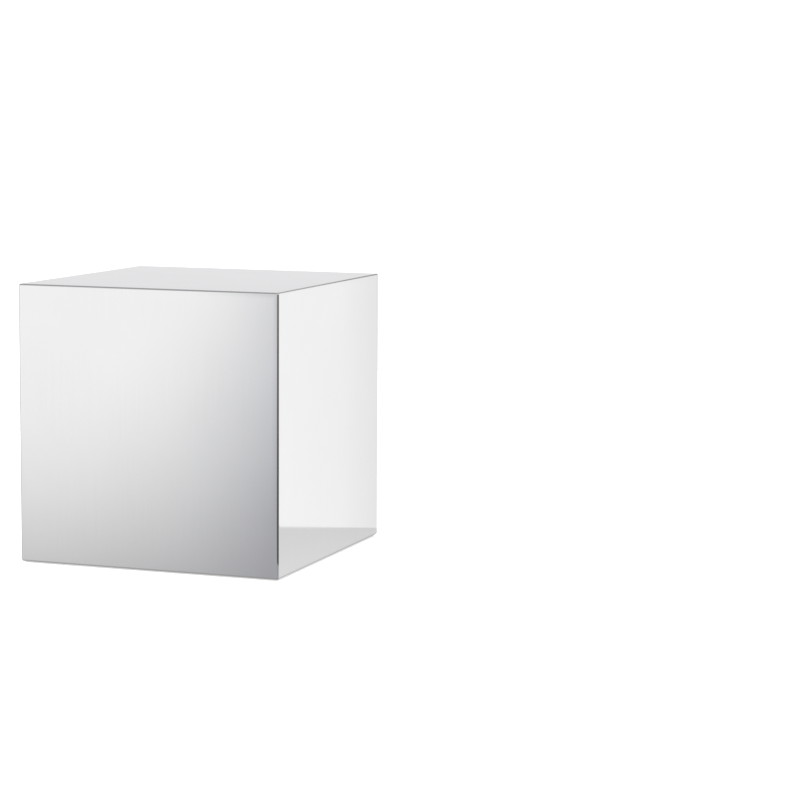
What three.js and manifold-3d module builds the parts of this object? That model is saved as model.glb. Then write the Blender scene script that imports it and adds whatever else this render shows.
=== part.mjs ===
// Mirror-polished steel cube table: five sheet-steel skins bonded to a wooden
// carcass, a recessed base board screwed up into cleats, and four levelling glides.
// Millimetres, +Z up. The origin is on the floor, under the middle of the cube.
// +X runs to the right along the front face, which looks towards -Y.

import * as THREE from 'three';
import { ConvexGeometry } from 'three/addons/geometries/ConvexGeometry.js';
import { RoundedBoxGeometry } from 'three/addons/geometries/RoundedBoxGeometry.js';
import { mergeVertices } from 'three/addons/utils/BufferGeometryUtils.js';
import Module from 'manifold-3d';

// Driving dimensions
const cubeSide = 400;            // outside of the steel, in all three directions
const standOff = 2;              // lower edge of the steel above the floor
const sheet = 1;                 // stainless sheet
const edgeRadius = 2.5;          // outside radius of the folded edges
const insideRadius = 0.5;        // inside radius of the folded edges
const seam = 0.3;                // hairline between two skins along a mitred edge
const hemWidth = 12;             // flange turned in under the carcass
const clearance = 0.3;           // glue line, or play between neighbouring pieces
const board = 16;                // carcass boards
const baseBoard = 15;
const baseRecess = 13;           // underside of the base board above the steel's lower edge
const cleat = 25;                // square battens that the base board is screwed to
const post = 30;                 // square corner posts
const glideInset = 60;           // glide axis from the outside faces
const pinTurns = 16;             // facets round a screw, insert or stud

const half = cubeSide / 2;
const topZ = standOff + cubeSide;
const carcassHalf = half - sheet - clearance;
const innerHalf = carcassHalf - board - clearance;
const carcassTop = topZ - sheet - clearance;
const wallBottom = standOff + sheet + clearance;
const wallTop = carcassTop - board - clearance;
const baseZ = standOff + baseRecess;
const cleatZ = baseZ + baseBoard + clearance;
const cleatMidZ = cleatZ + cleat / 2;
const postZ = cleatZ + cleat + clearance;
const cleatAxis = innerHalf - cleat / 2;
const sideCleatHalf = innerHalf - cleat - clearance;

// Wood screw, 4 mm, countersunk
const screw = { radius: 2, headRadius: 4, headDepth: 2.6, length: 33, sink: 0.4 };
const baseScrewAt = 75;          // base screws, along each cleat from its middle
const cleatScrewAt = 118;        // cleat screws, along each cleat from its middle

// Levelling glide with an M8 stud, screwed all the way in
const stud = { radius: 4, length: 32, hexAcross: 13, hexHeight: 4, neckRadius: 2.5, ballRadius: 3.5 };
const insert = { flangeRadius: 11, flange: 1.5, barrelRadius: 5.7, depth: 13 };
const pad = { radius: 15, height: 8.6, bossRadius: 7.2, ballZ: 4.7 };

const wasm = await Module();
wasm.setup();

const steel = { color: 0xd8dadc, roughness: 0.06, metalness: 1 };
const fibreboard = { color: 0xa98a62, roughness: 0.85, metalness: 0 };
const pine = { color: 0xd8b988, roughness: 0.75, metalness: 0 };
const blackBoard = { color: 0x1d1d1f, roughness: 0.6, metalness: 0 };
const zinc = { color: 0xb9bdc2, roughness: 0.35, metalness: 1 };
const nylon = { color: 0x202022, roughness: 0.55, metalness: 0 };

const table = new THREE.Group();

function addMesh(name, geometry, finish) {
  const mesh = new THREE.Mesh(geometry, new THREE.MeshStandardMaterial(finish));
  mesh.name = name;
  table.add(mesh);
}

// Joins and cuts

function solid(geometry) {
  const bare = geometry.clone();
  bare.deleteAttribute('normal');
  bare.deleteAttribute('uv');
  const merged = mergeVertices(bare, 1e-4);
  return new wasm.Manifold(new wasm.Mesh({
    numProp: 3,
    vertProperties: new Float32Array(merged.attributes.position.array),
    triVerts: new Uint32Array(merged.index.array),
  }));
}

function geometryOf(manifold) {
  const { vertProperties, triVerts } = manifold.getMesh();
  const geometry = new THREE.BufferGeometry();
  geometry.setAttribute('position', new THREE.BufferAttribute(new Float32Array(vertProperties), 3));
  geometry.setIndex(new THREE.BufferAttribute(new Uint32Array(triVerts), 1));
  geometry.computeVertexNormals();
  return geometry;
}

function cut(geometry, tools) {
  const result = tools.reduce((body, tool) => body.subtract(solid(tool)), solid(geometry));
  return geometryOf(result);
}

// Plain shapes, placed by their limits

function block(x0, x1, y0, y1, z0, z1) {
  const box = new THREE.BoxGeometry(x1 - x0, y1 - y0, z1 - z0);
  return box.translate((x0 + x1) / 2, (y0 + y1) / 2, (z0 + z1) / 2);
}

function turned(profile, facets = pinTurns) {
  const points = profile.map(([radius, height]) => new THREE.Vector2(radius, height));
  return new THREE.LatheGeometry(points, facets).rotateX(Math.PI / 2);
}

// Steel skins: the rounded shell of the cube, divided along the mitred edges

function steelShell() {
  const middleZ = standOff + half;
  const outside = new RoundedBoxGeometry(cubeSide, cubeSide, cubeSide, 2, edgeRadius);
  const insideSide = cubeSide - 2 * sheet;
  const inside = new RoundedBoxGeometry(insideSide, insideSide, insideSide, 1, insideRadius);
  const mouth = half - hemWidth;
  return solid(outside.translate(0, 0, middleZ))
    .subtract(solid(inside.translate(0, 0, middleZ)))
    .subtract(solid(block(-mouth, mouth, -mouth, mouth, standOff - 1, standOff + 2 * sheet)));
}

// The space of one side skin, in front of the mitre planes; it is open at the bottom.
function sideSpace() {
  const tip = seam / Math.SQRT2;
  const far = half + 30;
  const middleZ = standOff + half;
  const bottom = standOff - 10;
  const points = [];
  for (const side of [-1, 1]) {
    points.push(new THREE.Vector3(side * (far - tip), -far, middleZ + far - tip));
    points.push(new THREE.Vector3(side * (far - tip), -far, bottom));
  }
  points.push(new THREE.Vector3(0, -tip, middleZ));
  points.push(new THREE.Vector3(0, -tip, bottom));
  return new ConvexGeometry(points);
}

function topSpace() {
  const tip = seam / Math.SQRT2;
  const far = half + 30;
  const middleZ = standOff + half;
  const points = [new THREE.Vector3(0, 0, middleZ + tip)];
  for (const x of [-1, 1]) {
    for (const y of [-1, 1]) {
      points.push(new THREE.Vector3(x * (far - tip), y * (far - tip), middleZ + far));
    }
  }
  return new ConvexGeometry(points);
}

function addSkins() {
  const shell = steelShell();
  const quarter = Math.PI / 2;
  ['front', 'right', 'back', 'left'].forEach((side, turns) => {
    const space = sideSpace().rotateZ(turns * quarter);
    addMesh(`${side}_skin`, geometryOf(shell.intersect(solid(space))), steel);
  });
  addMesh('top_skin', geometryOf(shell.intersect(solid(topSpace()))), steel);
}

// Screws, and the holes that clear them. A screw points along +Z from its head at z = 0.

function screwSolid() {
  const { radius, headRadius, headDepth, length } = screw;
  const point = 5;
  return turned([
    [0, 0],
    [headRadius, 0],
    [headRadius, 0.4],
    [radius, headDepth],
    [radius, length - point],
    [0, length],
  ], 10);
}

function screwHole() {
  const { radius, headRadius, headDepth, length, sink } = screw;
  const hole = radius + clearance + 0.1;
  const rim = headRadius + clearance + 0.1;
  return turned([
    [0, -sink - 1],
    [rim, -sink - 1],
    [rim, 0.5],
    [hole, headDepth + 0.5],
    [hole, length + 1],
    [0, length + 1],
  ], 10);
}

// Where the screws go: one list for the base screws, one for the cleat screws.

function screwPlaces() {
  const places = [];
  const quarter = Math.PI / 2;
  ['front', 'right', 'back', 'left'].forEach((side, turns) => {
    [-1, 1].forEach((end, index) => {
      const up = new THREE.Matrix4().makeTranslation(end * baseScrewAt, -cleatAxis, baseZ + screw.sink);
      const out = new THREE.Matrix4().makeTranslation(
        end * cleatScrewAt, -(innerHalf - cleat) - screw.sink, cleatMidZ);
      out.multiply(new THREE.Matrix4().makeRotationX(quarter));
      const turn = new THREE.Matrix4().makeRotationZ(turns * quarter);
      places.push({ name: `base_screw_${side}_${index + 1}`, matrix: turn.clone().multiply(up) });
      places.push({ name: `cleat_screw_${side}_${index + 1}`, matrix: turn.clone().multiply(out) });
    });
  });
  return places;
}

function addScrews() {
  for (const { name, matrix } of screwPlaces()) {
    addMesh(name, screwSolid().applyMatrix4(matrix), zinc);
  }
}

function screwHoles() {
  return screwPlaces().map(({ matrix }) => screwHole().applyMatrix4(matrix));
}

// Wooden carcass

function addBoards() {
  const holes = screwHoles();
  const c = carcassHalf;
  const walls = {
    front_board: [-c, c, -c, -c + board],
    back_board: [-c, c, c - board, c],
    left_board: [-c, -c + board, -innerHalf, innerHalf],
    right_board: [c - board, c, -innerHalf, innerHalf],
  };
  for (const [name, limits] of Object.entries(walls)) {
    addMesh(name, cut(block(...limits, wallBottom, wallTop), holes), fibreboard);
  }
  addMesh('top_board', block(-c, c, -c, c, carcassTop - board, carcassTop), fibreboard);
}

function addCleats() {
  const holes = screwHoles();
  const i = innerHalf;
  const s = sideCleatHalf;
  const cleats = {
    front_cleat: [-i, i, -i, -i + cleat],
    back_cleat: [-i, i, i - cleat, i],
    left_cleat: [-i, -i + cleat, -s, s],
    right_cleat: [i - cleat, i, -s, s],
  };
  for (const [name, limits] of Object.entries(cleats)) {
    addMesh(name, cut(block(...limits, cleatZ, cleatZ + cleat), holes), pine);
  }
}

// The four corners, seen from above
const corners = {
  front_left: [-1, -1],
  front_right: [1, -1],
  back_right: [1, 1],
  back_left: [-1, 1],
};

function addPosts() {
  for (const [corner, [x, y]] of Object.entries(corners)) {
    const middle = innerHalf - post / 2;
    const height = wallTop - postZ;
    const geometry = new THREE.BoxGeometry(post, post, height);
    geometry.translate(x * middle, y * middle, postZ + height / 2);
    addMesh(`corner_post_${corner}`, geometry, pine);
  }
}

const glideAt = half - glideInset;

function addBaseBoard() {
  const holes = screwHoles();
  for (const [x, y] of Object.values(corners)) {
    const bore = new THREE.CylinderGeometry(
      insert.barrelRadius + 0.5, insert.barrelRadius + 0.5, baseBoard + 2, pinTurns);
    bore.rotateX(Math.PI / 2);
    holes.push(bore.translate(x * glideAt, y * glideAt, baseZ + baseBoard / 2));
  }
  const i = innerHalf;
  addMesh('base_board', cut(block(-i, i, -i, i, baseZ, baseZ + baseBoard), holes), blackBoard);
}

// Levelling glides, each around its own axis. Heights are from the floor.

const flangeZ = baseZ - clearance - insert.flange;
const hexZ = flangeZ - clearance - stud.hexHeight;

function insertSolid() {
  const bore = stud.radius + clearance;
  return turned([
    [bore, flangeZ],
    [insert.flangeRadius, flangeZ],
    [insert.flangeRadius, flangeZ + insert.flange],
    [insert.barrelRadius, flangeZ + insert.flange],
    [insert.barrelRadius, baseZ + insert.depth],
    [bore, baseZ + insert.depth],
    [bore, flangeZ],
  ]);
}

// Points on a ball of the given radius around ballZ, from its foot up to where a neck starts
function ballArc(radius, neck, steps) {
  const last = Math.PI - Math.asin(neck / radius);
  const points = [];
  for (let step = 0; step <= steps; step += 1) {
    const angle = last * step / steps;
    points.push([radius * Math.sin(angle), pad.ballZ - radius * Math.cos(angle)]);
  }
  points[0][0] = 0;
  return points;
}

function studSolid() {
  const top = hexZ + stud.hexHeight + stud.length;
  const shaft = turned([
    ...ballArc(stud.ballRadius, stud.neckRadius, 5),
    [stud.neckRadius, hexZ + 1],
    [stud.radius, hexZ + 1],
    [stud.radius, top - 1],
    [stud.radius - 1, top],
    [0, top],
  ]);
  const hexRadius = stud.hexAcross / Math.sqrt(3);
  const hex = new THREE.CylinderGeometry(hexRadius, hexRadius, stud.hexHeight, 6);
  hex.rotateX(Math.PI / 2).translate(0, 0, hexZ + stud.hexHeight / 2);
  return geometryOf(solid(shaft).add(solid(hex)));
}

function padSolid() {
  const socket = ballArc(stud.ballRadius + 0.4, stud.neckRadius + 0.5, 5).reverse();
  return turned([
    [0, 0],
    [pad.radius - 0.8, 0],
    [pad.radius, 0.8],
    [pad.radius, 3],
    [pad.radius - 1.5, 4.2],
    [pad.bossRadius + 0.8, 6.2],
    [pad.bossRadius, pad.height],
    [stud.neckRadius + 0.5, pad.height],
    ...socket,
  ], 20);
}

function addGlides() {
  for (const [corner, [x, y]] of Object.entries(corners)) {
    const [at, side] = [x * glideAt, y * glideAt];
    addMesh(`glide_insert_${corner}`, insertSolid().translate(at, side, 0), zinc);
    addMesh(`glide_stud_${corner}`, studSolid().translate(at, side, 0), zinc);
    addMesh(`glide_pad_${corner}`, padSolid().translate(at, side, 0), nylon);
  }
}

addSkins();
addBoards();
addCleats();
addPosts();
addBaseBoard();
addScrews();
addGlides();

export default table;
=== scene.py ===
from math import acos, cos, degrees, radians, sin, sqrt, tau
import bpy
from mathutils import Matrix, Vector


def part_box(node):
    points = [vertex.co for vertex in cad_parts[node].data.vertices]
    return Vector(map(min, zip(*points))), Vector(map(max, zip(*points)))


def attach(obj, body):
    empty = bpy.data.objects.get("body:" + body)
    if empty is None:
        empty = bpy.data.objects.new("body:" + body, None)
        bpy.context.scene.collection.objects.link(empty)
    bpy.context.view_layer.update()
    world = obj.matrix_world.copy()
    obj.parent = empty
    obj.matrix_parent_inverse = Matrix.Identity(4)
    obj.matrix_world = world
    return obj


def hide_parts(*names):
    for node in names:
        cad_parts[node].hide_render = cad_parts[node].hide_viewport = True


# Mirror cube table: polished stainless skins on a wooden carcass, on four levelling glides.
# Metres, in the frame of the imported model: the floor is z = 0 and the front looks towards -Y.
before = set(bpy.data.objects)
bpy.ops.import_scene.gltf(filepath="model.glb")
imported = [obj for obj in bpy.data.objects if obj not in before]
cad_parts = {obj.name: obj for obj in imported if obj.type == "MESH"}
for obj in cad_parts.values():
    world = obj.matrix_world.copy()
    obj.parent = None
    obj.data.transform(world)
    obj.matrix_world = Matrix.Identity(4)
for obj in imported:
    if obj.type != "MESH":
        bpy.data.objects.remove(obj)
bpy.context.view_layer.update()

steel_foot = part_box("front_skin")[0][2]
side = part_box("right_skin")[1][0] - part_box("left_skin")[0][0]
half = side / 2
middle = Vector((0, 0, steel_foot + half))


# Camera
# A long lens from about ten cube sides away and less than two sides high, turned a little
# to the left of square, so that the front, the right side and a sliver of the top show.
camera_place = Vector((3.904, -8.806, 1.732)) * side + Vector((0, 0, steel_foot))
camera_forward = Vector((-0.3332, 0.9350, -0.1216)).normalized()
camera_up = Vector((-0.0470, 0.1124, 0.9926)).normalized()
camera_right = camera_forward.cross(camera_up).normalized()
bpy.ops.object.camera_add()
camera = bpy.context.object
camera.name = "camera"
camera.data.lens = 118.1
camera.data.sensor_width = 36
camera.data.clip_end = 50
turn = Matrix((camera_right, camera_right.cross(camera_forward), -camera_forward)).transposed()
camera.matrix_world = Matrix.Translation(camera_place) @ turn.to_4x4()
bpy.context.scene.camera = camera
bpy.context.scene.view_settings.view_transform = "Standard"


# Studio
# A pale matt floor under soft light. Cards that only the polished steel sees stand for the table,
# the dim floor past its corner and a lamp, because a mirror shows its room. The light and shade
# on the table and on the room floor are painted into those cards' glow.
floor_reach = 30 * side
floor_glow = 0.5
lamp_height = 10 * side
lamp_width = 12 * side
lamp_watts = 190


def add_node(tree, kind, inputs=None, **settings):
    """Adds a node, sets its properties, and sets or links its inputs."""
    node = tree.nodes.new(kind)
    for name, value in settings.items():
        setattr(node, name, value)
    for name, value in (inputs or {}).items():
        if isinstance(value, bpy.types.NodeSocket):
            tree.links.new(value, node.inputs[name])
        else:
            node.inputs[name].default_value = value
    return node


def new_material(name):
    material = bpy.data.materials.new(name)
    material.use_nodes = True
    return material, material.node_tree, material.node_tree.nodes["Principled BSDF"]


def object_point(tree, scale=(1, 1, 1)):
    """The surface point in metres, stretched by scale."""
    place = add_node(tree, "ShaderNodeTexCoord").outputs["Object"]
    return add_node(tree, "ShaderNodeMapping", {"Vector": place, "Scale": scale}).outputs[0]


def axes(tree, point):
    return add_node(tree, "ShaderNodeSeparateXYZ", {"Vector": point}).outputs


def from_point(tree, place, point):
    """The way from a fixed point to a place."""
    fields = {0: place, 1: point}
    return add_node(tree, "ShaderNodeVectorMath", fields, operation="SUBTRACT").outputs[0]


def dot(tree, point, direction):
    fields = {0: point, 1: direction}
    return add_node(tree, "ShaderNodeVectorMath", fields, operation="DOT_PRODUCT").outputs["Value"]


def calc(tree, operation, first, second=0.0):
    return add_node(tree, "ShaderNodeMath", {0: first, 1: second}, operation=operation).outputs[0]


def bearing_off(tree, place, corner, ahead, across):
    """How far the way from a corner to a place is turned from the direction ahead."""
    way = from_point(tree, place, corner)
    turned = calc(tree, "ARCTAN2", dot(tree, way, across), dot(tree, way, ahead))
    return calc(tree, "ABSOLUTE", turned)


def noise(tree, point, scale, detail=2.0, roughness=0.5):
    fields = {"Vector": point, "Scale": scale, "Detail": detail, "Roughness": roughness}
    return add_node(tree, "ShaderNodeTexNoise", fields).outputs["Fac"]


def spread(tree, value, low, high, start=0.3, end=0.7):
    """Maps a value that runs from start to end onto low to high."""
    fields = {"Value": value, "From Min": start, "From Max": end, "To Min": low, "To Max": high}
    return add_node(tree, "ShaderNodeMapRange", fields).outputs["Result"]


def tint(tree, value, low, high, start=0.3, end=0.7):
    """A colour that goes from low to high as a value goes from start to end."""
    ramp = add_node(tree, "ShaderNodeValToRGB", {"Fac": value})
    for element, stop, colour in zip(ramp.color_ramp.elements, (start, end), (low, high)):
        element.position = stop
        element.color = (*colour, 1)
    return ramp.outputs["Color"]


def select_only(piece):
    bpy.ops.object.select_all(action="DESELECT")
    piece.select_set(True)
    bpy.context.view_layer.objects.active = piece


def open_edit(piece):
    """Opens a piece for editing, with all of it selected."""
    select_only(piece)
    bpy.ops.object.mode_set(mode="EDIT")
    bpy.ops.mesh.select_all(action="SELECT")


def close_edit():
    bpy.ops.object.mode_set(mode="OBJECT")


def settle(piece):
    """Moves a piece's place, turn and scale into its mesh."""
    select_only(piece)
    bpy.ops.object.transform_apply(location=True, rotation=True, scale=True)


def keep_inside(point, outward, fill=False):
    """Cuts the open mesh along a plane and drops what is on the plane's outward side."""
    bpy.ops.mesh.select_all(action="SELECT")
    bpy.ops.mesh.bisect(plane_co=point, plane_no=outward, clear_outer=True, use_fill=fill)


bpy.ops.mesh.primitive_plane_add(size=2 * floor_reach, location=(0, 0, 0))
floor = bpy.context.object
floor.name = "studio_floor"
floor.visible_glossy = False
floor_paint, tree, shader = new_material("pale matt floor")
cloud = noise(tree, object_point(tree), 2.5)
floor_tone = tint(tree, cloud, (0.80, 0.80, 0.80), (0.83, 0.83, 0.83))
tree.links.new(floor_tone, shader.inputs["Base Color"])
shader.inputs["Roughness"].default_value = 0.9
shader.inputs["Specular IOR Level"].default_value = 0.2
shader.inputs["Emission Color"].default_value = (1, 1, 1, 1)
shader.inputs["Emission Strength"].default_value = floor_glow
floor.data.materials.append(floor_paint)

bpy.ops.object.light_add(type="AREA", location=(0, 0, lamp_height))
floor_lamp = bpy.context.object
floor_lamp.name = "floor_lamp"
floor_lamp.visible_glossy = False
floor_lamp.data.shape = "DISK"
floor_lamp.data.size = lamp_width
floor_lamp.data.energy = lamp_watts


def reflections_only(card):
    settle(card)
    card.visible_camera = False
    card.visible_diffuse = False
    card.visible_shadow = False
    card.visible_transmission = False


def add_card(name, height, cuts):
    """A level card that only the polished steel sees, cut along lines given in cube sides."""
    bpy.ops.mesh.primitive_plane_add(size=2 * floor_reach, location=(0, 0, height))
    card = bpy.context.object
    card.name = name
    open_edit(card)
    for point, outward in cuts:
        keep_inside(point * side, outward)
    close_edit()
    reflections_only(card)
    return card


def glow_material(card):
    """A plain glow for a card. Returns its tree, its glow, and the place on it in cube sides."""
    material = bpy.data.materials.new(card.name)
    material.use_nodes = True
    card.data.materials.append(material)
    tree = material.node_tree
    tree.nodes.clear()
    glow = add_node(tree, "ShaderNodeEmission")
    surface = add_node(tree, "ShaderNodeOutputMaterial").inputs["Surface"]
    tree.links.new(glow.outputs["Emission"], surface)
    return tree, glow, object_point(tree, [1 / side] * 3)


# The table as the steel sees it. It ends a short way behind the cube and falls away close to
# its front right corner. Its glow is painted light and shade: painted shade near the cube and a
# painted shadow of the cube to the right, and light far out.
table_height = 0.0002
table_end = Vector((0.336, 0.942, 0))
table_corner = Vector((0.80, -0.55, 0))
near_light = 0.945
far_light = 1.43
fade = 0.45
right_light = 0.64
shade_curve = 2.2
corner_curve = 5.0
contact_light = 0.25
left_light = 0.60

table = add_card("studio_table", table_height, [
    (table_end * 0.81, table_end),
    (table_corner, Vector((0.985, -0.17, 0))),
    (table_corner, Vector((0.95, -0.31, 0))),
])
tree, glow, place = glow_material(table)
x, y, _ = axes(tree, place)

# In front of the cube: painted light that grows with distance, and a painted shadow of the cube,
# darker to the right and at the right corner.
away = spread(tree, y, 0.0, 32.0, -0.5, -29.5)
faded = calc(tree, "EXPONENT", calc(tree, "MULTIPLY", away, -fade))
level = spread(tree, faded, far_light, near_light, 0.0, 1.0)
aside = dot(tree, place, Vector((0.906, -0.423, 0)))
aside = calc(tree, "SUBTRACT", aside, calc(tree, "MULTIPLY", away, 0.07))
aside = spread(tree, aside, 0.0, 1.35, -0.60, 1.06)
shade = calc(tree, "POWER", aside, shade_curve)
depth = spread(tree, away, 0.085, -0.02, 0.5, 7.5)
depth = calc(tree, "SUBTRACT", depth, spread(tree, away, 0.06, 0.0, 0.1, 1.3))
corner_shade = calc(tree, "MULTIPLY", calc(tree, "POWER", aside, corner_curve), depth)
lit = calc(tree, "SUBTRACT", spread(tree, shade, 1.0, right_light, 0.0, 1.0), corner_shade)
lit = calc(tree, "MULTIPLY", level, lit)

# Beside and behind the cube, with a soft change past its front face, a painted contact shadow
# where the steel meets the table, and painted shade to the left.
beside = spread(tree, y, 1.07, 0.95, -0.4, 0.8)
past_left = calc(tree, "MULTIPLY", calc(tree, "ADD", x, 0.5), -0.9)
past_left = calc(tree, "MAXIMUM", past_left, 0.0)
past_front = calc(tree, "DIVIDE", calc(tree, "ADD", y, 0.5), calc(tree, "ADD", past_left, 0.02))
past_front = spread(tree, past_front, 0.0, 1.0, -0.5, 0.5)
lit = add_node(tree, "ShaderNodeMix", {"Factor": past_front, "A": lit, "B": beside}).outputs[0]
# Painted contact shadow along the cube's foot, then painted shade in a wedge off its front left
# corner.
from_middle = calc(tree, "MAXIMUM", calc(tree, "ABSOLUTE", x), calc(tree, "ABSOLUTE", y))
painted_contact_shadow = spread(tree, from_middle, contact_light, 1.0, 0.475, 0.53)
left_bearing = bearing_off(
    tree, place, Vector((-0.5, -0.5, 0)), Vector((-0.94, 0.342, 0)), Vector((0.342, 0.94, 0)))
painted_left_shade = spread(tree, left_bearing, left_light, 1.0, radians(8), radians(42))
lit = calc(tree, "MULTIPLY", calc(tree, "MULTIPLY", lit, painted_contact_shadow), painted_left_shade)
tree.links.new(lit, glow.inputs["Strength"])
# A cool blue tint on the painted shade in front of the cube.
shade_tint = calc(tree, "MULTIPLY", shade, calc(tree, "SUBTRACT", 1.0, past_front))
shade_tint = tint(tree, shade_tint, (1.0, 1.0, 0.994), (0.952, 0.960, 1.0), 0.15, 1.0)
tree.links.new(shade_tint, glow.inputs["Color"])

# The dim floor of the room, past the table's corner, whose glow is painted shade that draws the
# dark line down the edge. It is dark over a wide angle seen from that corner, and lighter
# outside it and far away.
room_floor_height = -0.01
open_floor_light = 1.15

room_floor = add_card("studio_room_floor", room_floor_height, [
    (Vector((1.3, 0.2, 0)), Vector((-0.707, 0.707, 0)))])
tree, glow, place = glow_material(room_floor)
bearing = bearing_off(
    tree, place, Vector((0.5, -0.5, 0)), Vector((0.574, -0.819, 0)), Vector((0.819, 0.574, 0)))
distance = add_node(tree, "ShaderNodeVectorMath", {0: place}, operation="LENGTH").outputs["Value"]
dim = spread(tree, distance, 0.13, 0.34, 1.0, 14.0)
outside = spread(tree, bearing, 0.0, 1.0, radians(54), radians(80))
room = add_node(tree, "ShaderNodeMix", {"Factor": outside, "A": dim, "B": open_floor_light})
tree.links.new(room.outputs[0], glow.inputs["Strength"])

# A soft lamp behind on the right, which brightens towards the right.
bpy.ops.mesh.primitive_plane_add(size=1, location=(0, 0, 0))
back_lamp = bpy.context.object
back_lamp.name = "studio_back_lamp"
back_lamp.scale = (3.4 * side, 4 * side, 1)
back_lamp.rotation_euler = (radians(90), 0, 0)
back_lamp.location = (2.4 * side, 1.5 * side, 0.6 * side)
reflections_only(back_lamp)
tree, glow, place = glow_material(back_lamp)
x, _, _ = axes(tree, place)
strength = spread(tree, x, 1.18, 1.32, 0.85, 1.03)
for gain, start, end in ((0.05, 1.03, 1.30), (0.6, 2.2, 3.0)):
    strength = calc(tree, "ADD", strength, spread(tree, x, 0.0, gain, start, end))
tree.links.new(strength, glow.inputs["Strength"])

# The room above the floor: bright low down all round, a lamp straight overhead, a bright
# upper wall on the camera's side, and dimmer walls behind the cube.
brightest = 1.5
room_tint = (0.99, 0.985, 1.0)
overhead = [(0.945, 0.66), (0.98, 1.05), (1.0, 1.3)]
behind_cube = [(0, 1.25), (0.035, 1.25), (0.065, 0.89), (0.2, 0.84), (0.34, 0.6)]
before_cube = [(0, 1.05), (0.25, 1.05), (0.4, 1.5), (0.72, 1.4), (0.82, 0.66)]

world = bpy.data.worlds.new("studio room")
bpy.context.scene.world = world
world.use_nodes = True
tree = world.node_tree
direction = add_node(tree, "ShaderNodeTexCoord").outputs["Generated"]
_, back, height = axes(tree, direction)


def light_by_height(steps):
    """Light of the room against the height of the direction, from level to straight up."""
    levels = add_node(tree, "ShaderNodeValToRGB", {"Fac": height})
    ramp = levels.color_ramp
    ramp.elements.remove(ramp.elements[1])
    for index, (stop, light) in enumerate(steps):
        element = ramp.elements[0] if index == 0 else ramp.elements.new(stop)
        element.position = stop
        element.color = [light / brightest * part for part in room_tint] + [1]
    return levels.outputs["Color"]


behind = light_by_height(behind_cube + overhead)
before = light_by_height(before_cube + overhead)
facing = spread(tree, back, 0.0, 1.0, 0.25, -0.25)
walls = add_node(tree, "ShaderNodeMix", {6: behind, 7: before, 0: facing}, data_type="RGBA")
tree.links.new(walls.outputs[2], tree.nodes["Background"].inputs["Color"])
tree.nodes["Background"].inputs["Strength"].default_value = brightest


# Mirror skins
# Five panels of 1 mm stainless sheet, polished to a mirror. Their edges are rolled and meet at
# a mitre with a hairline between them; the side panels are turned in under the carcass.
sheet = 0.001
edge_radius = 0.0025
edge_segments = 8
edge_fullness = 0.33
seam = 0.0003
hem = 0.012
fold_margin = 0.007
fold_dip = 0.00004
polish_lines = 900
polish_run = 6
cross_lines = 500
cross_run = 4
sheet_wave = 0.0004
line_depth = 0.0000012
cross_depth = 0.0000010

up = Vector((0, 0, 1))
compass = {
    "front": Vector((0, -1, 0)),
    "right": Vector((1, 0, 0)),
    "back": Vector((0, 1, 0)),
    "left": Vector((-1, 0, 0)),
}

bpy.ops.object.select_all(action="DESELECT")
bpy.ops.mesh.primitive_cube_add(size=side, location=middle)
blank = bpy.context.object
settle(blank)
open_edit(blank)
bpy.ops.mesh.bevel(
    offset=edge_radius, segments=edge_segments, profile=edge_fullness, affect="EDGES")
close_edit()


def apply_modifier(piece, kind, **settings):
    modifier = piece.modifiers.new(kind.lower(), kind)
    for name, value in settings.items():
        setattr(modifier, name, value)
    select_only(piece)
    bpy.ops.object.modifier_apply(modifier=modifier.name)


def smooth(piece, sharpest=32):
    """Shades a piece smooth, apart from edges sharper than this many degrees."""
    select_only(piece)
    bpy.ops.object.shade_smooth_by_angle(angle=radians(sharpest))


def copy_piece(piece, name):
    """A copy with its own mesh."""
    twin = piece.copy()
    twin.data = piece.data.copy()
    twin.name = name
    bpy.context.scene.collection.objects.link(twin)
    return twin


def select_wide_faces(piece, least_area):
    """Selects the large flat faces of an open mesh."""
    bpy.ops.mesh.select_all(action="DESELECT")
    bpy.ops.object.mode_set(mode="OBJECT")
    for face in piece.data.polygons:
        face.select = face.area > least_area
    bpy.ops.object.mode_set(mode="EDIT")


def cut_skin(name, out, mitres, hem_turned):
    """Cuts one panel out of the rounded blank: the part of it that lies towards out."""
    skin = copy_piece(blank, name)
    open_edit(skin)
    tip = middle + out * seam / sqrt(2)
    for away_from in mitres:
        keep_inside(tip, (away_from - out).normalized())
    if hem_turned:
        keep_inside(middle + out * (half - hem), -out)
    select_wide_faces(skin, side * side / 2)
    bpy.ops.mesh.inset(thickness=fold_margin, depth=-fold_dip)
    close_edit()
    apply_modifier(skin, "SOLIDIFY", thickness=sheet, offset=-1, use_even_offset=True)
    smooth(skin, 35)
    apply_modifier(skin, "WEIGHTED_NORMAL", mode="FACE_AREA", weight=90, keep_sharp=True)
    return skin


def mixed(tree, first, second, share):
    """Two values mixed: share of the first, and the rest of the second."""
    rest = calc(tree, "MULTIPLY", second, 1 - share)
    return calc(tree, "ADD", calc(tree, "MULTIPLY", first, share), rest)


def finish(tree, shader, colour, gloss, *relief):
    """Links a finish: its colour, its roughness, and its relief as (height, depth) layers."""
    tree.links.new(colour, shader.inputs["Base Color"])
    tree.links.new(gloss, shader.inputs["Roughness"])
    normal = None
    for height, depth in relief:
        bump = add_node(tree, "ShaderNodeBump", {"Height": height, "Distance": depth})
        if normal:
            tree.links.new(normal, bump.inputs["Normal"])
        normal = bump.outputs["Normal"]
    tree.links.new(normal, shader.inputs["Normal"])


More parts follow.
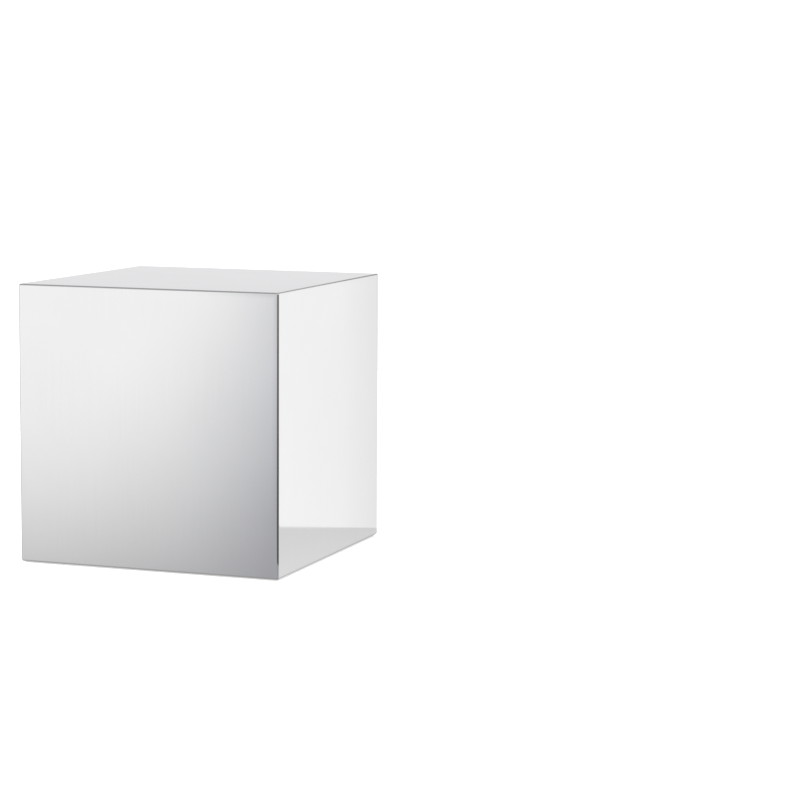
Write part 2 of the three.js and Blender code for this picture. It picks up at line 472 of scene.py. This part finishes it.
def mirror_steel(name, along):
    """Mirror-polished sheet. The last polishing lines run the way that along is 1."""
    material, tree, shader = new_material(name)
    line_scale = [polish_run if axis else polish_lines for axis in along]
    cross_scale = [cross_run if axis else cross_lines for axis in along]
    lines = noise(tree, object_point(tree, line_scale), 1.0, 3.0, 0.65)
    crossed = noise(tree, object_point(tree, cross_scale), 1.0, 2.0, 0.6)
    haze = noise(tree, object_point(tree), 7.0, 3.0, 0.55)
    wave = noise(tree, object_point(tree), 4.0, 1.0, 0.4)
    gloss = calc(tree, "ADD", spread(tree, haze, 0.052, 0.072), spread(tree, lines, -0.014, 0.014))
    streaks = mixed(tree, haze, lines, 0.5)
    tone = tint(tree, streaks, (0.600, 0.600, 0.606), (0.621, 0.620, 0.624), 0.36, 0.64)
    shader.inputs["Metallic"].default_value = 1.0
    finish(tree, shader, tone, gloss, (wave, sheet_wave), (lines, line_depth), (crossed, cross_depth))
    return material


def fit(piece, node, body):
    """Puts a finished piece in the place of its node."""
    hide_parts(node)
    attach(piece, body)


for wall, out in compass.items():
    sideways = up.cross(out)
    skin = cut_skin(f"{wall}_panel", out, [sideways, -sideways, up], True)
    skin.data.materials.append(mirror_steel(f"mirror steel, {wall}", [0, 0, 1]))
    fit(skin, f"{wall}_skin", "cube")
top_panel = cut_skin("top_panel", up, list(compass.values()), False)
top_panel.data.materials.append(mirror_steel("mirror steel, top", [1, 0, 0]))
fit(top_panel, "top_skin", "cube")
bpy.data.objects.remove(blank)


# Carcass boards
# Five boards of raw 16 mm fibreboard, sawn square and glued at their edges. The steel is
# bonded to their outer faces, which keeps the thin sheet flat.
def dress(node, material):
    """Gives a node of the frame its finish."""
    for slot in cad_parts[node].material_slots:
        slot.material = material


def fibreboard():
    material, tree, shader = new_material("raw fibreboard")
    fibres = noise(tree, object_point(tree), 900.0, 4.0, 0.7)
    clumps = noise(tree, object_point(tree), 70.0, 3.0, 0.6)
    felt = mixed(tree, fibres, clumps, 0.6)
    brown = tint(tree, felt, (0.29, 0.19, 0.10), (0.53, 0.38, 0.23))
    finish(tree, shader, brown, spread(tree, fibres, 0.78, 0.95), (fibres, 0.00008))
    return material


board_finish = fibreboard()
for board in ("top_board", "front_board", "back_board", "left_board", "right_board"):
    dress(board, board_finish)


# Corner posts and cleats
# Planed 30 mm softwood posts glued into the upright corners, and 25 mm cleats glued and
# screwed round the bottom of the walls. The grain runs along each piece.
corners = ("front_left", "front_right", "back_right", "back_left")


def pine(name, along):
    """Planed softwood whose grain runs the way that along is 1."""
    material, tree, shader = new_material(name)
    stretched = object_point(tree, [0.05 if axis else 1 for axis in along])
    rings = add_node(tree, "ShaderNodeTexWave", {
        "Vector": stretched, "Scale": 70.0, "Distortion": 6.0, "Detail": 3.0, "Detail Scale": 0.8,
    }, bands_direction="DIAGONAL", wave_profile="SAW").outputs["Fac"]
    fibres = noise(tree, object_point(tree, [14 if axis else 900 for axis in along]), 1.0, 3.0, 0.6)
    figure = mixed(tree, rings, fibres, 0.65)
    grain = tint(tree, figure, (0.74, 0.54, 0.31), (0.56, 0.34, 0.16), 0.25, 0.9)
    finish(tree, shader, grain, spread(tree, figure, 0.55, 0.72), (figure, 0.00007))
    return material


upright_pine = pine("pine, grain upright", [0, 0, 1])
for corner in corners:
    dress(f"corner_post_{corner}", upright_pine)
for grain_way, walls_held in (([1, 0, 0], ("front", "back")), ([0, 1, 0], ("left", "right"))):
    level_pine = pine(f"pine, grain under {walls_held[0]}", grain_way)
    for wall in walls_held:
        dress(f"{wall}_cleat", level_pine)


# Base board
# A 15 mm chipboard panel faced in black melamine, let in above the lower edge of the steel.
# Its face has the fine pebble that the press plate leaves.
def black_melamine():
    material, tree, shader = new_material("black melamine")
    pebble = noise(tree, object_point(tree), 1400.0, 2.0, 0.5)
    wear = noise(tree, object_point(tree), 22.0, 4.0, 0.6)
    black = tint(tree, wear, (0.013, 0.013, 0.015), (0.018, 0.018, 0.020))
    finish(tree, shader, black, spread(tree, wear, 0.43, 0.52), (pebble, 0.00005))
    return material


dress("base_board", black_melamine())


# Wood screws
# Sixteen zinc-plated countersunk screws with a cross recess and a coarse thread: eight up
# through the base board into the cleats, and eight from the cleats out into the walls.
screw_head_radius = 0.0040
screw_head_depth = 0.0026
screw_rim = 0.0002
screw_core = 0.00140
screw_crest = 0.0020
screw_pitch = 0.0018
screw_tip = 0.004
screw_neck = 0.0005
plain_shank = 0.004
recess_reach = 0.0021
recess_width = 0.0008
recess_depth = 0.0020
double_gap = 0.000004
thread_gap = 0.000002
broken_edge = 0.00008


def draw_outline(name, outline):
    """Draws a line through (radius, height) points, in the plane y = 0."""
    bpy.ops.object.select_all(action="DESELECT")
    bpy.ops.mesh.primitive_plane_add(size=0.001, location=(outline[0][0], 0, outline[0][1]))
    piece = bpy.context.object
    piece.name = name
    settle(piece)
    open_edit(piece)
    bpy.ops.mesh.merge(type="CENTER")
    for (radius, height), (next_radius, next_height) in zip(outline, outline[1:]):
        step = (next_radius - radius, 0, next_height - height)
        bpy.ops.mesh.extrude_vertices_move(TRANSFORM_OT_translate={"value": step})
    return piece


def tidy_mesh():
    """Merges doubles and points the faces of the open mesh outwards."""
    bpy.ops.mesh.select_all(action="SELECT")
    bpy.ops.mesh.remove_doubles(threshold=double_gap)
    bpy.ops.mesh.normals_make_consistent(inside=False)
    close_edit()


def turn_piece(name, outline, steps=48):
    """Turns an outline about the z axis."""
    piece = draw_outline(name, outline)
    bpy.ops.mesh.select_all(action="SELECT")
    bpy.ops.mesh.spin(steps=steps, angle=tau, center=(0, 0, 0), axis=(0, 0, 1))
    tidy_mesh()
    return piece


def arc(centre, radius, start, end, steps=6):
    """Points on an arc from one angle to another, in degrees, as (radius, height)."""
    angles = [radians(start + (end - start) * step / steps) for step in range(steps + 1)]
    return [(centre[0] + radius * cos(angle), centre[1] + radius * sin(angle)) for angle in angles]


def wind_thread(name, core, crest, pitch, foot, end, steps=24):
    """A threaded rod round the z axis, cut off level at foot and at end."""
    flat = pitch / 8
    start = foot - pitch
    rod = draw_outline(name, [
        (core, start), (core, start + flat),
        (crest, start + (pitch - flat) / 2), (crest, start + (pitch + flat) / 2),
        (core, start + pitch - flat), (core, start + pitch)])
    close_edit()
    turns = int((end - foot) / pitch) + 3
    apply_modifier(
        rod, "SCREW", axis="Z", angle=tau, screw_offset=pitch, iterations=turns, steps=steps,
        render_steps=steps, use_merge_vertices=True, merge_threshold=thread_gap)
    open_edit(rod)
    bpy.ops.mesh.remove_doubles(threshold=double_gap)
    keep_inside((0, 0, foot), (0, 0, -1), True)
    keep_inside((0, 0, end), (0, 0, 1), True)
    tidy_mesh()
    return rod


def shape_with(piece, cutter, operation):
    """Cuts a piece with another one, which is used up."""
    apply_modifier(piece, "BOOLEAN", object=cutter, operation=operation, solver="EXACT")
    bpy.data.objects.remove(cutter)


def join(pieces):
    """Joins pieces into the first one."""
    bpy.ops.object.select_all(action="DESELECT")
    for piece in pieces:
        piece.select_set(True)
    bpy.context.view_layer.objects.active = pieces[0]
    bpy.ops.object.join()
    return pieces[0]


def cross_cutter(reach, width, low, high):
    """A cross-shaped bit round the z axis."""
    bpy.ops.object.select_all(action="DESELECT")
    bpy.ops.mesh.primitive_cube_add(size=width, location=(0, 0, 0))
    bit = bpy.context.object
    bit.scale.z = (high - low) / width
    bit.location.z = (low + high) / 2
    settle(bit)
    for out in compass.values():
        open_edit(bit)
        bpy.ops.mesh.select_all(action="DESELECT")
        close_edit()
        for face in bit.data.polygons:
            beside_axis = abs(face.center.dot(up.cross(out))) > width / 4
            face.select = face.normal.dot(out) > 0.9 and not beside_axis
        bpy.ops.object.mode_set(mode="EDIT")
        step = out * (reach - width / 2)
        bpy.ops.mesh.extrude_region_move(TRANSFORM_OT_translate={"value": step})
        close_edit()
    return bit


def finish_metal(piece):
    """Rounds the sharp edges a little and smooths the rest."""
    apply_modifier(
        piece, "BEVEL", width=broken_edge, segments=1, limit_method="ANGLE",
        angle_limit=radians(50))
    smooth(piece)


def zinc_plate():
    material, tree, shader = new_material("bright zinc plate")
    bloom = noise(tree, object_point(tree), 160.0, 3.0, 0.6)
    grain = noise(tree, object_point(tree), 2600.0, 2.0, 0.5)
    colour = tint(tree, bloom, (0.50, 0.53, 0.58), (0.62, 0.61, 0.58))
    gloss = calc(tree, "ADD", spread(tree, bloom, 0.24, 0.36), spread(tree, grain, -0.04, 0.04))
    shader.inputs["Metallic"].default_value = 1.0
    finish(tree, shader, colour, gloss, (grain, 0.00001))
    return material


def make_screw(length):
    """A screw with the top of its head at the origin and its point up the z axis."""
    neck = screw_head_depth + screw_neck
    body = turn_piece("screw_body", [
        (0, 0), (screw_head_radius - screw_rim, 0), (screw_head_radius, screw_rim),
        (screw_core + screw_rim, screw_head_depth), (screw_core, neck),
        (screw_core, length - screw_tip), (screw_core * 0.55, length - screw_tip * 0.4),
        (0, length)], 32)
    recess = cross_cutter(recess_reach, recess_width, -0.0005, recess_depth)
    shape_with(body, recess, "DIFFERENCE")
    thread = wind_thread(
        "screw_thread", screw_core - 0.0001, screw_crest, screw_pitch,
        neck + plain_shank, length - screw_tip, 16)
    finish_metal(body)
    smooth(thread)
    return join([body, thread])


def box_corners(node):
    low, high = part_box(node)
    return Vector(low), Vector(high)


zinc = zinc_plate()
screw_low, screw_high = box_corners("base_screw_front_1")
screw_model = make_screw(screw_high.z - screw_low.z)
screw_model.data.materials.append(zinc)


def drive_screw(name, node, way):
    """Sets a copy of the screw in its node's place, pointing the given way."""
    low, high = box_corners(node)
    reach = abs((high - low).dot(way)) / 2
    screw = copy_piece(screw_model, name)
    head = Matrix.Translation((low + high) / 2 - way * reach)
    screw.matrix_world = head @ up.rotation_difference(way).to_matrix().to_4x4()
    settle(screw)
    fit(screw, node, "cube")


for wall, out in compass.items():
    for number in (1, 2):
        drive_screw(f"wood_screw_base_{wall}_{number}", f"base_screw_{wall}_{number}", up)
        drive_screw(f"wood_screw_cleat_{wall}_{number}", f"cleat_screw_{wall}_{number}", out)
bpy.data.objects.remove(screw_model)


# Glide inserts
# Flanged M8 inserts of plated steel, knocked up into holes in the base board. Barbs on the
# barrel hold them, and four notches in the flange stop them turning.
insert_low, insert_high = box_corners("glide_insert_front_left")
insert_foot = insert_low.z
insert_top = insert_high.z
flange_radius = (insert_high.x - insert_low.x) / 2
flange = 0.0015
flange_foot_round = 0.0006
flange_top_round = 0.0005
barrel_foot = insert_foot + flange
barrel_radius = 0.0057
barrel_end_radius = barrel_radius - 0.0008
bore_radius = 0.0043
barbs = 5
barb_start = 0.001
barb_pitch = 0.0022
barb_depth = 0.0004
barb_root = barrel_radius - barb_depth
barb_rise = 0.0002
barb_gap = 0.0003
ease = 0.0004
notch_width = 0.0022
notch_root = flange_radius - 0.0018
spare = 0.001


def place_copies(model, name, node, body):
    """Puts a copy of a model, made round the z axis, at each corner's glide."""
    for corner in corners:
        low, high = box_corners(f"{node}_{corner}")
        piece = copy_piece(model, f"{name}_{corner}")
        piece.location = ((low.x + high.x) / 2, (low.y + high.y) / 2, 0)
        settle(piece)
        fit(piece, f"{node}_{corner}", body.replace("CORNER", corner))
    bpy.data.objects.remove(model)


flange_foot_centre = (flange_radius - flange_foot_round, insert_foot + flange_foot_round)
flange_top_centre = (flange_radius - flange_top_round, barrel_foot - flange_top_round)
insert_outline = [(bore_radius, insert_foot + ease), (bore_radius + ease, insert_foot)]
insert_outline += arc(flange_foot_centre, flange_foot_round, -90, 0, 3)
insert_outline += arc(flange_top_centre, flange_top_round, 0, 90, 3)
insert_outline.append((barb_root, barrel_foot))
for barb in range(barbs):
    barb_foot = barrel_foot + barb_start + barb * barb_pitch
    insert_outline.append((barb_root, barb_foot))
    insert_outline.append((barrel_radius, barb_foot + barb_rise))
    insert_outline.append((barb_root, barb_foot + barb_pitch - barb_gap))
insert_outline += [(barrel_end_radius, insert_top), (bore_radius + ease, insert_top)]
insert_outline += [(bore_radius, insert_top - ease), insert_outline[0]]
insert_model = turn_piece("insert_model", insert_outline)

notch_cutter = cross_cutter(
    flange_radius + spare, notch_width, insert_foot - spare, barrel_foot + spare)
core_foot = insert_foot - 2 * spare
core_top = barrel_foot + 2 * spare
notch_core = turn_piece("notch_core", [
    (0, core_foot), (notch_root, core_foot), (notch_root, core_top), (0, core_top)])
shape_with(notch_cutter, notch_core, "DIFFERENCE")
shape_with(insert_model, notch_cutter, "DIFFERENCE")
finish_metal(insert_model)
insert_model.data.materials.append(zinc)
place_copies(insert_model, "flanged_insert", "glide_insert", "cube")


# Glide studs
# M8 studs turned from one bar: a ball at the foot that the pad clips on, a neck, a hexagon for
# a 13 mm spanner, and a thread up through the insert.
stud_top = box_corners("glide_stud_front_left")[1].z
stud_radius = 0.0040
stud_pitch = 0.00125
stud_core = 0.00332
hex_across = 0.013
hex_foot = 0.0089
hex_height = 0.004
hex_top = hex_foot + hex_height
hex_corner = hex_across / sqrt(3)
hex_chamfer_radius = hex_across / 2 * 0.96
hex_chamfer_height = 0.00075
neck_radius = 0.0025
neck_fillet = 0.0003
neck_sunk = 0.0004
ball_radius = 0.0035
ball_height = 0.0047
end_chamfer = 0.001
thread_sunk = 0.0003
stud_spare = 0.0005

ball_join = sqrt(ball_radius ** 2 - neck_radius ** 2)
ball_end = degrees(acos(neck_radius / ball_radius))
foot_outline = arc((0, ball_height), ball_radius, -90, ball_end, 12)
foot_outline[0] = (0, ball_height - ball_radius)
foot_outline.append((neck_radius, ball_height + ball_join + 0.0002))
foot_outline.append((neck_radius, hex_foot - neck_fillet))
foot_outline.append((neck_radius + neck_fillet, hex_foot + neck_sunk))
foot_outline.append((0, hex_foot + neck_sunk))
stud_foot = turn_piece("stud_foot", foot_outline)

bpy.ops.object.select_all(action="DESELECT")
bpy.ops.mesh.primitive_circle_add(
    vertices=6, radius=hex_corner, fill_type="NGON", location=(0, 0, hex_foot))
collar = bpy.context.object
settle(collar)
open_edit(collar)
bpy.ops.mesh.extrude_region_move(TRANSFORM_OT_translate={"value": (0, 0, hex_height)})
tidy_mesh()
outer_radius = hex_corner + 0.0002
collar_shape = turn_piece("collar_shape", [
    (0, hex_foot), (hex_chamfer_radius, hex_foot),
    (outer_radius, hex_foot + hex_chamfer_height), (outer_radius, hex_top - hex_chamfer_height),
    (hex_chamfer_radius, hex_top), (0, hex_top)])
shape_with(collar, collar_shape, "INTERSECT")

stud_thread = wind_thread(
    "stud_thread", stud_core, stud_radius, stud_pitch, hex_top - thread_sunk, stud_top)
thread_end = turn_piece("thread_end", [
    (0, hex_foot), (stud_radius + stud_spare, hex_foot),
    (stud_radius + stud_spare, stud_top - end_chamfer - stud_spare),
    (stud_radius - end_chamfer, stud_top), (0, stud_top)])
shape_with(stud_thread, thread_end, "INTERSECT")
for part in (stud_foot, collar):
    finish_metal(part)
smooth(stud_thread)
stud_model = join([stud_foot, collar, stud_thread])
stud_model.data.materials.append(zinc)
place_copies(stud_model, "turned_stud", "glide_stud", "stud_CORNER")


# Glide pads
# Black nylon feet, moulded in one: a flat sole with a shallow recess, a domed skirt, and a
# split collar that snaps over the stud's ball and lets the pad tilt.
pad_low, pad_high = box_corners("glide_pad_front_left")
pad_radius = (pad_high.x - pad_low.x) / 2
pad_top = pad_high.z
sole_recess = 0.0003
recess_radius = pad_radius - 0.0052
sole_radius = pad_radius - 0.0046
sole_round = 0.0008
skirt_round = 0.0014
skirt_height = 0.0028
skirt_end = 68
collar_radius = 0.0072
collar_fillet = 0.0021
fillet_centre = (collar_radius + 0.0022, 0.0078)
rim_round = 0.0005
socket_radius = 0.0039
mouth_radius = 0.0030
split_width = 0.0009
split_foot = 0.0064

socket_turn = degrees(acos(mouth_radius / socket_radius))
pad_outline = [(0, sole_recess), (recess_radius, sole_recess), (sole_radius, 0)]
pad_outline += arc((pad_radius - sole_round, sole_round), sole_round, -90, 0, 5)
pad_outline += arc((pad_radius - skirt_round, skirt_height), skirt_round, 0, skirt_end, 5)
pad_outline += arc(fillet_centre, collar_fillet, 250, 182, 6)
pad_outline += arc((collar_radius - rim_round, pad_top - rim_round), rim_round, 0, 90, 3)
pad_outline += [(mouth_radius + rim_round, pad_top), (mouth_radius, pad_top - rim_round)]
pad_outline += arc((0, ball_height), socket_radius, socket_turn, -90, 12)
pad_outline[-1] = (0, ball_height - socket_radius)
pad_model = turn_piece("pad_model", pad_outline)
split_cutter = cross_cutter(pad_radius, split_width, split_foot, pad_top + spare)
shape_with(pad_model, split_cutter, "DIFFERENCE")
smooth(pad_model)


def moulded_nylon():
    material, tree, shader = new_material("black moulded nylon")
    spark = noise(tree, object_point(tree), 3200.0, 2.0, 0.6)
    scuff = noise(tree, object_point(tree), 120.0, 4.0, 0.65)
    black = tint(tree, scuff, (0.013, 0.013, 0.015), (0.026, 0.026, 0.028))
    finish(tree, shader, black, spread(tree, scuff, 0.46, 0.62), (spark, 0.00002))
    return material


pad_model.data.materials.append(moulded_nylon())
place_copies(pad_model, "moulded_pad", "glide_pad", "pad_CORNER")
